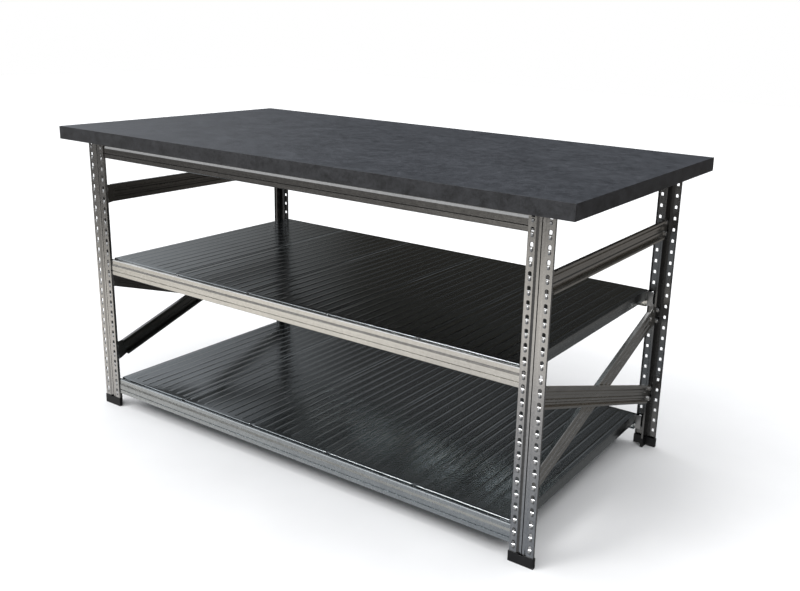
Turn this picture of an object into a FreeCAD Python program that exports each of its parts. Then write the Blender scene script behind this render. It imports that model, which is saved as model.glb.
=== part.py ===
import FreeCAD, Part

import math
import os
import re

import Sketcher

# A workbench of galvanised rack sections: four T-section posts on plastic feet, step beams hooked into
# their keyholes, two shelves of ribbed steel panels, bolted end frames and a laminated chipboard worktop.
# Millimetres, +Z up, +X along the bench, the front faces -Y, the origin is the middle of the floor area.

os.makedirs("parts", exist_ok=True)
doc = FreeCAD.newDocument("rack_workbench")
sheet = doc.addObject("Spreadsheet::Sheet", "Sizes")

# ---------------------------------------------------------------------------------------------------
# Driving dimensions: (name, size in mm, what it is)
# ---------------------------------------------------------------------------------------------------
SIZES = [
    ("worktop_length", 1720, "worktop along X, over the edge bands"),
    ("worktop_depth", 900, "worktop along Y, over the edge bands"),
    ("worktop_thickness", 38, "worktop with its two skins"),
    ("worktop_height", 900, "floor to working surface"),
    ("laminate_gauge", 0.8, "decor laminate on the working surface"),
    ("backing_gauge", 0.5, "balancing sheet under the board"),
    ("edge_gauge", 1.0, "edge band"),
    ("frame_depth", 800, "front post face to rear post face"),
    ("post_spacing", 1520, "left post centre to right post centre"),
    ("post_width", 66, "post across its two strips"),
    ("post_lip", 7, "return lip along each outer edge of a post"),
    ("post_gauge", 1.5, "sheet thickness of the posts"),
    ("stem_depth", 30, "post from strip face to the end of its stem"),
    ("stem_width", 5.4, "outside width of the two-walled stem"),
    ("shoulder_out", 13.5, "half width of the shallow recess at the strip face"),
    ("shoulder_in", 7.5, "half width of the shallow recess at its floor"),
    ("shoulder_depth", 3, "depth of the shallow recess beside the stem"),
    ("keyhole_pitch", 100 / 3, "pitch of the keyholes"),
    ("keyhole_count", 25, "keyholes in each strip"),
    ("keyhole_first", 53, "floor to the middle of the lowest keyhole"),
    ("keyhole_offset", 22, "post centre to keyhole column"),
    ("keyhole_width", 7, "keyhole opening across"),
    ("keyhole_height", 9.5, "keyhole opening high"),
    ("keyhole_rim", 1.2, "width of the dished rim round a keyhole"),
    ("rim_depth", 1.1, "depth of the dished rim"),
    ("dimple_drop", 12.4, "keyhole middle down to the middle of its dimple"),
    ("dimple_radius", 4.6, "foot radius of the pressed dimple"),
    ("dimple_rise", 1.6, "dimple above the strip face"),
    ("foot_base", 4, "floor thickness of a foot cap"),
    ("foot_height", 28, "foot cap overall"),
    ("foot_wall", 1.8, "foot cap wall"),
    ("foot_notch_width", 12, "notch in the front rim of a foot cap"),
    ("foot_notch_depth", 3, "depth of that notch"),
    ("beam_height", 50, "beam from its rolled top to its bottom flange"),
    ("beam_setback", 3, "post face to beam face"),
    ("beam_gauge", 1.5, "sheet thickness of the beams"),
    ("beam_end_gap", 0.5, "clearance between a beam end and the post lip"),
    ("beam_roll", 8.5, "depth of the rolled top edge"),
    ("roll_bevel", 3, "rounding of the rolled top edge"),
    ("roll_ease", 0.9, "middle of that rounding, in from its corner"),
    ("web_step", 1.1, "top band of a beam, set back from its face"),
    ("step_high", 14, "rolled top down to the start of the step below the top band"),
    ("step_low", 20.5, "rolled top down to the end of that step"),
    ("groove_drop", 36, "rolled top down to the groove"),
    ("groove_width", 1.8, "width of the groove's floor"),
    ("groove_depth", 4, "groove along the beam face"),
    ("groove_bevel", 0.9, "sloping sides of the groove"),
    ("ledge_drop", 30, "rolled top down to the ledge the panels rest on"),
    ("ledge_reach", 26, "beam face to the inner edge of the ledge"),
    ("ledge_turn", 8, "downturned edge of the ledge"),
    ("beam_flange", 14, "beam face to the inner edge of the bottom flange"),
    ("middle_beam_pitches", 11, "keyhole pitches from the top beams down to the middle beams"),
    ("lower_beam_pitches", 23, "keyhole pitches from the top beams down to the lower beams"),
    ("hook_gauge", 2, "hook plate thickness"),
    ("hook_tang", 36, "length of a hook plate behind the beam's top edge"),
    ("hook_reach", 18.5, "length of a hook plate past the beam end"),
    ("hook_lug", 5, "hook lug height and width"),
    ("hook_inset", 3, "rolled top down to the top of a hook plate"),
    ("hook_tang_height", 24, "height of a hook plate behind the beam"),
    ("hook_plate_height", 44, "height of a hook plate past the beam end"),
    ("hook_lug_drop", 9, "rolled top down to the middle of the upper lug"),
    ("panel_count", 5, "panels side by side in each shelf"),
    ("panel_width", 290, "one shelf panel across"),
    ("panel_pitch", 290.4, "spacing of the shelf panels"),
    ("panel_length", 772, "shelf panel from front to back"),
    ("panel_depth", 33, "shelf panel from its flats down to its lower edge"),
    ("panel_gauge", 0.8, "sheet thickness of the panels"),
    ("panel_return", 10, "inward return along each lower edge of a panel"),
    ("panel_bend", 1.6, "bevel of the long bends of a panel"),
    ("rib_count", 9, "ribs in each panel"),
    ("rib_foot", 10, "rib across its foot"),
    ("rib_crown", 5.4, "rib across its crown"),
    ("rib_rise", 2, "rib above the flats"),
    ("brace_height", 54, "end-frame channel, flange to flange"),
    ("brace_depth", 12, "end-frame channel depth"),
    ("brace_lip", 5, "return lip of the end-frame channel"),
    ("brace_gauge", 1.5, "sheet thickness of the end-frame channels"),
    ("brace_bend", 1.5, "bevel of the channel bends"),
    ("bead_rise", 2.4, "pressed bead above the channel web"),
    ("bead_centre", 9, "channel centre line to the middle of a bead"),
    ("bead_foot", 10, "bead across its foot"),
    ("bead_crown", 5, "bead across its crown"),
    ("tongue_height", 58, "flattened end of an end-frame channel"),
    ("tongue_past_bolt", 11, "bolt row to the end of a flattened end"),
    ("tongue_corner", 9, "corners cut off a flattened end"),
    ("tongue_overlap", 4, "flattened end lapping into the channel"),
    ("tongue_before_bolt", 30, "bolt row back to the start of the channel"),
    ("bolt_setback", 22, "post face to the bolt row in its stem"),
    ("bolt_pair", 100 / 3, "spacing of the two bolts at each channel end"),
    ("tie_centre", 693, "floor to the middle of the side ties"),
    ("brace_high_centre", 426.33, "floor to the middle of a brace's high end"),
    ("brace_low_centre", 176.33, "floor to the middle of a brace's low end"),
    ("bolt_diameter", 8, "M8 bolts"),
    ("bolt_hole", 8.6, "bolt holes in stems and channels"),
    ("bolt_head_height", 5.3, "hexagon head"),
    ("bolt_head_radius", 7.5, "hexagon across its corners, halved"),
    ("nut_height", 6.5, "hexagon nut"),
    ("bolt_end", 2, "bolt past its nut"),
]
for row_number, (alias, size, meaning) in enumerate(SIZES, start=1):
    sheet.set(f"A{row_number}", meaning)
    sheet.set(f"B{row_number}", repr(size))
    sheet.setAlias(f"B{row_number}", alias)

# Sizes that follow from the driving dimensions: (name, formula, what it is)
DERIVED = [
    ("frame_top", "worktop_height - worktop_thickness", "top of the top beams and posts"),
    ("post_length", "frame_top - foot_base", "post from its foot to its top"),
    ("beam_length", "post_spacing - post_width - 2 * beam_end_gap", "beam between two posts"),
    ("middle_beam_top", "frame_top - middle_beam_pitches * keyhole_pitch", "top of the middle beams"),
    ("lower_beam_top", "frame_top - lower_beam_pitches * keyhole_pitch", "top of the lower beams"),
    ("middle_shelf", "middle_beam_top - ledge_drop + panel_depth", "flats of the middle shelf"),
    ("lower_shelf", "lower_beam_top - ledge_drop + panel_depth", "flats of the lower shelf"),
    ("rib_pitch", "panel_width / rib_count", "spacing of the ribs"),
    ("bolt_row", "frame_depth / 2 - bolt_setback", "bench centre line to the bolt rows"),
    ("brace_fall", "brace_high_centre - brace_low_centre", "height lost along a brace"),
    ("brace_run", "2 * bolt_row", "distance between the bolt rows"),
    ("brace_span", "sqrt(brace_run ^ 2 + brace_fall ^ 2)", "bolt row to bolt row along a brace"),
    ("brace_mid", "(brace_high_centre + brace_low_centre) / 2", "floor to the crossing of the braces"),
    ("brace_sine", "brace_fall / brace_span", "sine of the brace's slope"),
    ("brace_cosine", "brace_run / brace_span", "cosine of the brace's slope"),
    ("dome_radius", "(dimple_radius ^ 2 + dimple_rise ^ 2) / (2 * dimple_rise)", "radius of the dimples' domes"),
    ("grip", "stem_width + brace_gauge", "steel between a bolt head and its nut"),
    ("shank_length", "grip + nut_height + bolt_end", "bolt under its head"),
]
for row_number, (alias, formula, meaning) in enumerate(DERIVED, start=len(SIZES) + 2):
    sheet.set(f"A{row_number}", meaning)
    sheet.set(f"B{row_number}", "=" + formula)
    sheet.setAlias(f"B{row_number}", alias)
doc.recompute()


# ---------------------------------------------------------------------------------------------------
# Helpers
# ---------------------------------------------------------------------------------------------------
ORIGIN = FreeCAD.Vector(0, 0, 0)
AXIS_X = FreeCAD.Vector(1, 0, 0)
AXIS_Y = FreeCAD.Vector(0, 1, 0)
AXIS_Z = FreeCAD.Vector(0, 0, 1)
SMALLEST_CUT = 1e-6  # a pocket that removes less than this has missed
RIM_TAPER = -47.5  # degrees that the dished rim of a keyhole leans in
CORNER_GROWTH = 0.586  # share of a margin that lengthens a corner cut at 45 degrees
SKETCH_PLANES = {
    # sketch plane: rotation that lays the sketch's own XY plane on it
    "XY_Plane": FreeCAD.Rotation(AXIS_Z, 0),
    "XZ_Plane": FreeCAD.Rotation(AXIS_X, 90),
    "YZ_Plane": FreeCAD.Rotation(FreeCAD.Vector(1, 1, 1), 120),
}
WORDS = re.compile(r"\b(" + "|".join(entry[0] for entry in SIZES + DERIVED) + r")\b")
workings = doc.addObject("Spreadsheet::Sheet", "Workings")


def spell(formula):
    """A formula of the sheet's names, written so that any object can be bound to it."""
    return WORDS.sub(r"Sizes.\1", formula)


def bind(thing, **formulas):
    """Bind properties of an object to formulas; a double underscore stands for a dot."""
    for name, formula in formulas.items():
        thing.setExpression(name.replace("__", "."), spell(formula))


def numbers(formulas):
    """The present values of several formulas."""
    for row, formula in enumerate(formulas, start=1):
        workings.set(f"A{row}", "=" + spell(formula))
    doc.recompute([workings])
    return [float(workings.get(f"A{row}")) for row in range(1, len(formulas) + 1)]


def number(formula):
    """The present value of one formula."""
    return numbers([formula])[0]


def draw(sketch, corners, closed):
    """Draw a line through corners given as formulas and tie each corner to the sheet."""
    values = numbers([formula for corner in corners for formula in corner])
    spots = list(zip(values[0::2], values[1::2]))
    first = sketch.GeometryCount
    count = len(corners)
    segments = count if closed else count - 1
    for index in range(segments):
        start = spots[index]
        end = spots[(index + 1) % count]
        line = Part.LineSegment(FreeCAD.Vector(start[0], start[1], 0), FreeCAD.Vector(end[0], end[1], 0))
        sketch.addGeometry(line, False)
    for index in range(segments - 1):
        sketch.addConstraint(Sketcher.Constraint("Coincident", first + index, 2, first + index + 1, 1))
    if closed:
        sketch.addConstraint(Sketcher.Constraint("Coincident", first + segments - 1, 2, first, 1))
    for index in range(count):
        edge, end = (first + index, 1) if index < segments else (first + index - 1, 2)
        for kind, part in (("DistanceX", 0), ("DistanceY", 1)):
            constraint = Sketcher.Constraint(kind, -1, 1, edge, end, spots[index][part])
            place_in_list = sketch.addConstraint(constraint)
            sketch.setExpression(f"Constraints[{place_in_list}]", spell(corners[index][part]))


def draw_circle(sketch, across, up, radius):
    """Draw a circle whose centre and radius are formulas."""
    x, y, r = numbers([across, up, radius])
    index = sketch.addGeometry(Part.Circle(FreeCAD.Vector(x, y, 0), AXIS_Z, r), False)
    for constraint, formula in (
        (Sketcher.Constraint("DistanceX", -1, 1, index, 3, x), across),
        (Sketcher.Constraint("DistanceY", -1, 1, index, 3, y), up),
        (Sketcher.Constraint("Radius", index, r), radius),
    ):
        place_in_list = sketch.addConstraint(constraint)
        sketch.setExpression(f"Constraints[{place_in_list}]", spell(formula))


def half_lens(name, body, across, up):
    """Half the section of a dimple, drawn beside its axis: flat on the strip face, domed in front of it."""
    sketch = new_sketch(body, name, "XY_Plane")
    bind(sketch, AttachmentOffset__Base__x=across, AttachmentOffset__Base__z=up)
    foot, rise, radius = numbers(["dimple_radius", "dimple_rise", "dome_radius"])
    centre = FreeCAD.Vector(0, radius - rise, 0)
    start = -math.pi / 2
    end = math.atan2(-centre.y, foot)
    sketch.addGeometry(Part.LineSegment(ORIGIN, FreeCAD.Vector(foot, 0, 0)), False)
    sketch.addGeometry(Part.ArcOfCircle(Part.Circle(centre, AXIS_Z, radius), start, end), False)
    sketch.addGeometry(Part.LineSegment(FreeCAD.Vector(0, -rise, 0), ORIGIN), False)
    for constraint in (
        Sketcher.Constraint("Coincident", 0, 1, -1, 1),
        Sketcher.Constraint("Coincident", 2, 2, -1, 1),
        Sketcher.Constraint("Coincident", 1, 1, 2, 1),
        Sketcher.Constraint("Coincident", 1, 2, 0, 2),
        Sketcher.Constraint("Horizontal", 0),
        Sketcher.Constraint("Vertical", 2),
    ):
        sketch.addConstraint(constraint)
    for constraint, formula in (
        (Sketcher.Constraint("DistanceX", -1, 1, 0, 2, foot), "dimple_radius"),
        (Sketcher.Constraint("DistanceY", 2, 1, -1, 1, rise), "dimple_rise"),
        (Sketcher.Constraint("Radius", 1, radius), "dome_radius"),
    ):
        place_in_list = sketch.addConstraint(constraint)
        sketch.setExpression(f"Constraints[{place_in_list}]", spell(formula))
    doc.recompute()
    return sketch


def rectangle(across, up, width, height):
    """Corner formulas of a rectangle given by its middle and its sizes."""
    return [
        (f"{across} - {width} / 2", f"{up} - {height} / 2"),
        (f"{across} + {width} / 2", f"{up} - {height} / 2"),
        (f"{across} + {width} / 2", f"{up} + {height} / 2"),
        (f"{across} - {width} / 2", f"{up} + {height} / 2"),
    ]


def rolled_section(name, plane, corners, gauge, length, along):
    """A bent sheet: the middle line of its section, thickened by its gauge and run along an axis."""
    sketch = doc.addObject("Sketcher::SketchObject", name + "_line")
    sketch.Placement = FreeCAD.Placement(ORIGIN, SKETCH_PLANES[plane])
    draw(sketch, corners, closed=False)
    doc.recompute()
    face = doc.addObject("Part::Offset2D", name + "_section")
    face.Source = sketch
    face.Join = "Intersection"
    face.Fill = True
    bind(face, Value=f"{gauge} / 2")
    doc.recompute()
    run = doc.addObject("Part::Extrusion", name + "_run")
    run.Base = face
    run.DirMode = "Custom"
    run.Dir = along
    run.Solid = True
    run.Symmetric = plane != "XY_Plane"
    bind(run, LengthFwd=length)
    doc.recompute()
    return run


def new_body(name, base=None):
    """A Part Design body, grown from a rolled section where one is given."""
    body = doc.addObject("PartDesign::Body", name)
    if base is not None:
        body.BaseFeature = base
    doc.recompute()
    return body


def origin_feature(body, role):
    """One of the body's own origin planes or axes."""
    return [feature for feature in body.Origin.OriginFeatures if feature.Role == role][0]


def new_sketch(body, name, plane, height="0"):
    """An empty sketch on one of the body's origin planes, raised along its normal."""
    sketch = body.newObject("Sketcher::SketchObject", name)
    sketch.AttachmentSupport = (origin_feature(body, plane), [""])
    sketch.MapMode = "FlatFace"
    if height != "0":
        bind(sketch, AttachmentOffset__Base__z=height)
    doc.recompute()
    return sketch


def revolve(body, name, sketch):
    """Turn a sketch about its own vertical axis and add it to the body."""
    feature = body.newObject("PartDesign::Revolution", name)
    feature.Profile = sketch
    feature.ReferenceAxis = (sketch, ["V_Axis"])
    feature.Angle = 360
    doc.recompute()
    return feature


def pad(body, name, sketch, length, reverse=False):
    """Raise a sketch into the body."""
    feature = body.newObject("PartDesign::Pad", name)
    feature.Profile = sketch
    feature.Reversed = reverse
    bind(feature, Length=length)
    doc.recompute()
    return feature


def pocket(body, name, sketch, length, reverse=False, middle=False, taper=0):
    """Cut a sketch into the body and make sure that it removed something."""
    before = body.Shape.Volume
    feature = body.newObject("PartDesign::Pocket", name)
    feature.Profile = sketch
    feature.Reversed = reverse
    feature.TaperAngle = taper
    if middle:
        feature.SideType = "Symmetric"
    bind(feature, Length=length)
    doc.recompute()
    if body.Shape.Volume >= before - SMALLEST_CUT:
        raise RuntimeError(f"{name} cut nothing")
    return feature


def pattern(body, name, originals, axis, pitch, count):
    """Repeat features along one of the body's axes."""
    feature = body.newObject("PartDesign::LinearPattern", name)
    feature.Originals = originals
    feature.Direction = (origin_feature(body, axis), [""])
    feature.Mode = "Spacing"
    bind(feature, Offset=pitch, Occurrences=count)
    body.Tip = feature
    doc.recompute()
    return feature


def block(name, low, size):
    """A plain block given by the formulas of its low corner and its sizes."""
    thing = doc.addObject("Part::Box", name)
    bind(thing, Length=size[0], Width=size[1], Height=size[2])
    bind(thing, Placement__Base__x=low[0], Placement__Base__y=low[1], Placement__Base__z=low[2])
    return thing


nodes = []


def node(thing, name):
    """Name an object as one of the sub-parts that are written out."""
    thing.Label = name
    nodes.append(thing)
    return thing


def place(name, master, spot, turn=None):
    """A copy of a finished shape at a spot given by formulas, turned about Z where asked."""
    copy = doc.addObject("Part::Compound", name)
    copy.Links = [master]
    if turn is not None:
        copy.Placement = FreeCAD.Placement(ORIGIN, turn)
    bind(copy, Placement__Base__x=spot[0], Placement__Base__y=spot[1], Placement__Base__z=spot[2])
    doc.recompute()
    return copy


def group(name, members):
    """Several identical fasteners or fittings held as one sub-part."""
    thing = doc.addObject("Part::Compound", name)
    thing.Links = members
    doc.recompute()
    return node(thing, name)


FACING_FRONT = FreeCAD.Rotation(AXIS_Z, 0)
FACING_REAR = FreeCAD.Rotation(AXIS_Z, 180)
SIDES = (("left", "-"), ("right", ""))
ENDS = (("front", "-", FACING_FRONT), ("rear", "", FACING_REAR))

# ---------------------------------------------------------------------------------------------------
# Worktop: chipboard core, laminate above, balancing sheet below and four edge bands
# ---------------------------------------------------------------------------------------------------
CORE_LENGTH = "(worktop_length - 2 * edge_gauge)"
CORE_DEPTH = "(worktop_depth - 2 * edge_gauge)"
core = block(
    "worktop_core",
    (f"-{CORE_LENGTH} / 2", f"-{CORE_DEPTH} / 2", "frame_top + backing_gauge"),
    (CORE_LENGTH, CORE_DEPTH, "worktop_thickness - laminate_gauge - backing_gauge"),
)
node(core, "worktop_core")
laminate = block(
    "worktop_laminate",
    (f"-{CORE_LENGTH} / 2", f"-{CORE_DEPTH} / 2", "worktop_height - laminate_gauge"),
    (CORE_LENGTH, CORE_DEPTH, "laminate_gauge"),
)
node(laminate, "worktop_laminate")
backing = block(
    "worktop_backing",
    (f"-{CORE_LENGTH} / 2", f"-{CORE_DEPTH} / 2", "frame_top"),
    (CORE_LENGTH, CORE_DEPTH, "backing_gauge"),
)
node(backing, "worktop_backing")
for side, low_y in (("front", "-worktop_depth / 2"), ("rear", "worktop_depth / 2 - edge_gauge")):
    band = block(
        f"worktop_edge_{side}",
        ("-worktop_length / 2", low_y, "frame_top"),
        ("worktop_length", "edge_gauge", "worktop_thickness"),
    )
    node(band, f"worktop_edge_{side}")
for side, low_x in (("left", "-worktop_length / 2"), ("right", "worktop_length / 2 - edge_gauge")):
    band = block(
        f"worktop_edge_{side}",
        (low_x, f"-{CORE_DEPTH} / 2", "frame_top"),
        ("edge_gauge", CORE_DEPTH, "worktop_thickness"),
    )
    node(band, f"worktop_edge_{side}")

# ---------------------------------------------------------------------------------------------------
# Posts: a T section rolled from one sheet. Two strips with keyholes face outwards, and the middle runs
# in through a shallow recess to a thin two-walled stem that the end frame is bolted to.
# ---------------------------------------------------------------------------------------------------
HALF_POST_LINE = [
    ("(post_width - post_gauge) / 2", "post_lip - post_gauge / 2"),
    ("(post_width - post_gauge) / 2", "post_gauge / 2"),
    ("shoulder_out", "post_gauge / 2"),
    ("shoulder_in", "shoulder_depth + post_gauge / 2"),
    ("(stem_width - post_gauge) / 2", "shoulder_depth + post_gauge / 2"),
    ("(stem_width - post_gauge) / 2", "stem_depth - post_gauge / 2"),
]
post_line = [("-" + across, inward) for across, inward in HALF_POST_LINE] + HALF_POST_LINE[::-1]
post_run = rolled_section("post", "XY_Plane", post_line, "post_gauge", "post_length", AXIS_Z)
post = new_body("post_master", post_run)


def keyhole_outline(column, margin):
    """A keyhole grown by a margin: square below, where a hook lug rests, and with its upper corners cut off."""
    width = f"(keyhole_width + 2 * {margin})"
    height = f"(keyhole_height + 2 * {margin})"
    corner_cut = f"(keyhole_width / 4 + {CORNER_GROWTH} * {margin})"
    opening = rectangle(column, "(keyhole_first - foot_base)", width, height)
    low_left, low_right, high_right, high_left = opening
    return [
        low_left,
        low_right,
        (high_right[0], f"{high_right[1]} - {corner_cut}"),
        (f"{high_right[0]} - {corner_cut}", high_right[1]),
        (f"{high_left[0]} + {corner_cut}", high_left[1]),
        (high_left[0], f"{high_left[1]} - {corner_cut}"),
    ]


keyholes = new_sketch(post, "keyhole_openings", "XZ_Plane")
rims = new_sketch(post, "keyhole_rims", "XZ_Plane")
dimples = []
for column in ("-keyhole_offset", "keyhole_offset"):
    draw(keyholes, keyhole_outline(column, "0"), closed=True)
    draw(rims, keyhole_outline(column, "keyhole_rim"), closed=True)
    dimples.append(half_lens("keyhole_dimple", post, column, "keyhole_first - foot_base - dimple_drop"))
doc.recompute()
opening_cut = pocket(post, "keyhole_cut", keyholes, "2 * post_lip", middle=True)
pattern(post, "keyhole_column", [opening_cut], "Z_Axis", "keyhole_pitch", "keyhole_count")
rim_cut = pocket(post, "rim_cut", rims, "rim_depth", taper=RIM_TAPER)
pattern(post, "rim_column", [rim_cut], "Z_Axis", "keyhole_pitch", "keyhole_count")
domes = [revolve(post, "dimple", profile) for profile in dimples]
pattern(post, "dimple_column", domes, "Z_Axis", "keyhole_pitch", "keyhole_count")
stem_holes = new_sketch(post, "stem_bolt_holes", "YZ_Plane")
for centre in ("tie_centre", "brace_high_centre", "brace_low_centre"):
    for offset in ("-", "+"):
        draw_circle(stem_holes, "bolt_setback", f"{centre} - foot_base {offset} bolt_pair / 2", "bolt_hole / 2")
doc.recompute()
pocket(post, "stem_bolt_cut", stem_holes, "2 * stem_width", middle=True)

# Foot cap: a T-shaped cup that the post stands in
foot = new_body("foot_master")


def t_outline(margin):
    """The T-shaped outline round a post, grown by a margin."""
    half = [
        (f"post_width / 2 + {margin}", f"-{margin}"),
        (f"post_width / 2 + {margin}", f"post_lip + {margin}"),
        (f"stem_width / 2 + {margin}", f"post_lip + {margin}"),
        (f"stem_width / 2 + {margin}", f"stem_depth + {margin}"),
    ]
    return [(f"-({across})", inward) for across, inward in half[::-1]] + half


foot_outside = new_sketch(foot, "foot_outside", "XY_Plane")
draw(foot_outside, t_outline("foot_wall"), closed=True)
doc.recompute()
pad(foot, "foot_block", foot_outside, "foot_height")
foot_inside = new_sketch(foot, "foot_inside", "XY_Plane", "foot_base")
draw(foot_inside, t_outline("0"), closed=True)
doc.recompute()
pocket(foot, "foot_recess", foot_inside, "foot_height", reverse=True)
foot_notch = new_sketch(foot, "foot_notch", "XZ_Plane")
draw(foot_notch, rectangle("0", "foot_height", "foot_notch_width", "(2 * foot_notch_depth)"), closed=True)
doc.recompute()
pocket(foot, "foot_notch_cut", foot_notch, "2 * foot_wall + 1", middle=True)

for end, y_sign, turn in ENDS:
    for side, x_sign in SIDES:
        spot = (f"{x_sign}post_spacing / 2", f"{y_sign}frame_depth / 2")
        node(place(f"post_{end}_{side}", post, spot + ("foot_base",), turn), f"post_{end}_{side}")
        node(place(f"foot_cap_{end}_{side}", foot, spot + ("0",), turn), f"foot_cap_{end}_{side}")

# ---------------------------------------------------------------------------------------------------
# Step beams: a grooved face, a rolled top edge and an inner ledge that the shelf panels rest on
# ---------------------------------------------------------------------------------------------------
HALF_BEAM_GAUGE = "beam_gauge / 2"
TOP_BAND = f"{HALF_BEAM_GAUGE} + web_step"
BEAM_LINE = [
    ("beam_flange", f"{HALF_BEAM_GAUGE} - beam_height"),
    (f"{HALF_BEAM_GAUGE} + groove_bevel", f"{HALF_BEAM_GAUGE} - beam_height"),
    (HALF_BEAM_GAUGE, f"{HALF_BEAM_GAUGE} + groove_bevel - beam_height"),
    (HALF_BEAM_GAUGE, "-groove_drop - groove_width / 2 - groove_bevel"),
    (f"{HALF_BEAM_GAUGE} + groove_depth", "-groove_drop - groove_width / 2"),
    (f"{HALF_BEAM_GAUGE} + groove_depth", "groove_width / 2 - groove_drop"),
    (HALF_BEAM_GAUGE, "groove_width / 2 - groove_drop + groove_bevel"),
    (HALF_BEAM_GAUGE, "-step_low"),
    (TOP_BAND, "-step_high"),
    (TOP_BAND, f"-{HALF_BEAM_GAUGE} - roll_bevel"),
    (f"{TOP_BAND} + roll_ease", f"-{HALF_BEAM_GAUGE} - roll_ease"),
    (f"{TOP_BAND} + roll_bevel", f"-{HALF_BEAM_GAUGE}"),
    (f"beam_roll - {HALF_BEAM_GAUGE} - roll_bevel / 2", f"-{HALF_BEAM_GAUGE}"),
    (f"beam_roll - {HALF_BEAM_GAUGE}", f"-{HALF_BEAM_GAUGE} - roll_bevel / 2"),
    (f"beam_roll - {HALF_BEAM_GAUGE}", f"-ledge_drop - {HALF_BEAM_GAUGE}"),
    (f"ledge_reach - {HALF_BEAM_GAUGE}", f"-ledge_drop - {HALF_BEAM_GAUGE}"),
    (f"ledge_reach - {HALF_BEAM_GAUGE}", "-ledge_drop - ledge_turn"),
]
beam_run = rolled_section("beam", "YZ_Plane", BEAM_LINE, "beam_gauge", "beam_length", AXIS_X)
beam = new_body("beam_master", beam_run)

# Hook plates: one in each end of a beam. The tang lies behind the beam's top edge, the plate passes behind
# the post's lip and two lugs reach forward through two keyholes of the strip.
hook_body = new_body("hook_master")
HOOK_FACE = "beam_roll"
hook_outline = [
    ("beam_length / 2 - hook_tang", "-hook_inset"),
    ("beam_length / 2 + hook_reach", "-hook_inset"),
    ("beam_length / 2 + hook_reach", "-hook_inset - hook_plate_height"),
    ("beam_length / 2 + beam_end_gap", "-hook_inset - hook_plate_height"),
    ("beam_length / 2 + beam_end_gap", "-hook_inset - hook_tang_height"),
    ("beam_length / 2 - hook_tang", "-hook_inset - hook_tang_height"),
]
plate_sketch = new_sketch(hook_body, "hook_plate", "XZ_Plane", f"-{HOOK_FACE}")
draw(plate_sketch, hook_outline, closed=True)
doc.recompute()
pad(hook_body, "hook_plate_pad", plate_sketch, "hook_gauge", reverse=True)
lug_sketch = new_sketch(hook_body, "hook_lugs", "XZ_Plane", f"-{HOOK_FACE}")
lug_column = "(post_spacing / 2 - keyhole_offset)"
for lug_height in ("(-hook_lug_drop)", "(-hook_lug_drop - keyhole_pitch)"):
    draw(lug_sketch, rectangle(lug_column, lug_height, "hook_lug", "hook_lug"), closed=True)
doc.recompute()
pad(hook_body, "hook_lug_pad", lug_sketch, "beam_roll + beam_setback")
hook_mirror = doc.addObject("Part::Mirroring", "hook_mirror_master")
hook_mirror.Source = hook_body
hook_mirror.Normal = AXIS_X
doc.recompute()

for level, height in (("upper", "frame_top"), ("middle", "middle_beam_top"), ("lower", "lower_beam_top")):
    for end, y_sign, turn in ENDS:
        spot = ("0", f"{y_sign}(frame_depth / 2 - beam_setback)", height)
        name = f"{level}_{end}_beam"
        node(place(name, beam, spot, turn), name)
        hooks = [
            place(f"{name}_hook_right", hook_body, spot, turn),
            place(f"{name}_hook_left", hook_mirror, spot, turn),
        ]
        group(f"{name}_hooks", hooks)

# ---------------------------------------------------------------------------------------------------
# Shelf panels: trays of thin sheet with ribs from front to back, laid side by side on the ledges
# ---------------------------------------------------------------------------------------------------
def ribbed_top(inset):
    """Corners of the ribbed top from the left bend to the right bend, moved in from its outer face."""
    edge = f"(panel_width / 2 - {inset})"
    corners = [(f"-{edge}", f"-panel_bend - {inset}"), (f"panel_bend - {edge}", f"-{inset}")]
    for rib in range(int(number("rib_count"))):
        centre = f"({rib} - (rib_count - 1) / 2) * rib_pitch"
        corners.append((f"{centre} - rib_foot / 2", f"-{inset}"))
        corners.append((f"{centre} - rib_crown / 2", f"rib_rise - {inset}"))
        corners.append((f"{centre} + rib_crown / 2", f"rib_rise - {inset}"))
        corners.append((f"{centre} + rib_foot / 2", f"-{inset}"))
    corners.append((f"{edge} - panel_bend", f"-{inset}"))
    corners.append((edge, f"-panel_bend - {inset}"))
    return corners


HALF_PANEL_GAUGE = "panel_gauge / 2"
RETURN_END = "(panel_width / 2 - panel_return)"
SIDE_LINE = f"(panel_width / 2 - {HALF_PANEL_GAUGE})"
LOWER_LINE = f"{HALF_PANEL_GAUGE} - panel_depth"
panel_line = (
    [(f"-{RETURN_END}", LOWER_LINE), (f"-{SIDE_LINE}", LOWER_LINE)]
    + ribbed_top(HALF_PANEL_GAUGE)
    + [(SIDE_LINE, LOWER_LINE), (RETURN_END, LOWER_LINE)]
)
SHEET_LENGTH = "(panel_length - 2 * panel_gauge)"
panel_run = rolled_section("panel", "XZ_Plane", panel_line, "panel_gauge", SHEET_LENGTH, AXIS_Y)
panel = new_body("panel_master", panel_run)
end_outline = [("-panel_width / 2", "-panel_depth")] + ribbed_top("0") + [("panel_width / 2", "-panel_depth")]
for end, sign, reverse in (("front", "", False), ("rear", "-", True)):
    end_sketch = new_sketch(panel, f"panel_{end}_end", "XZ_Plane", f"{sign}{SHEET_LENGTH} / 2")
    draw(end_sketch, end_outline, closed=True)
    doc.recompute()
    pad(panel, f"panel_{end}_end_pad", end_sketch, "panel_gauge", reverse=reverse)

for level, height in (("middle", "middle_shelf"), ("lower", "lower_shelf")):
    for index in range(int(number("panel_count"))):
        spot = (f"({index} - (panel_count - 1) / 2) * panel_pitch", "0", height)
        name = f"{level}_shelf_panel_{index + 1}"
        node(place(name, panel, spot), name)

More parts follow.
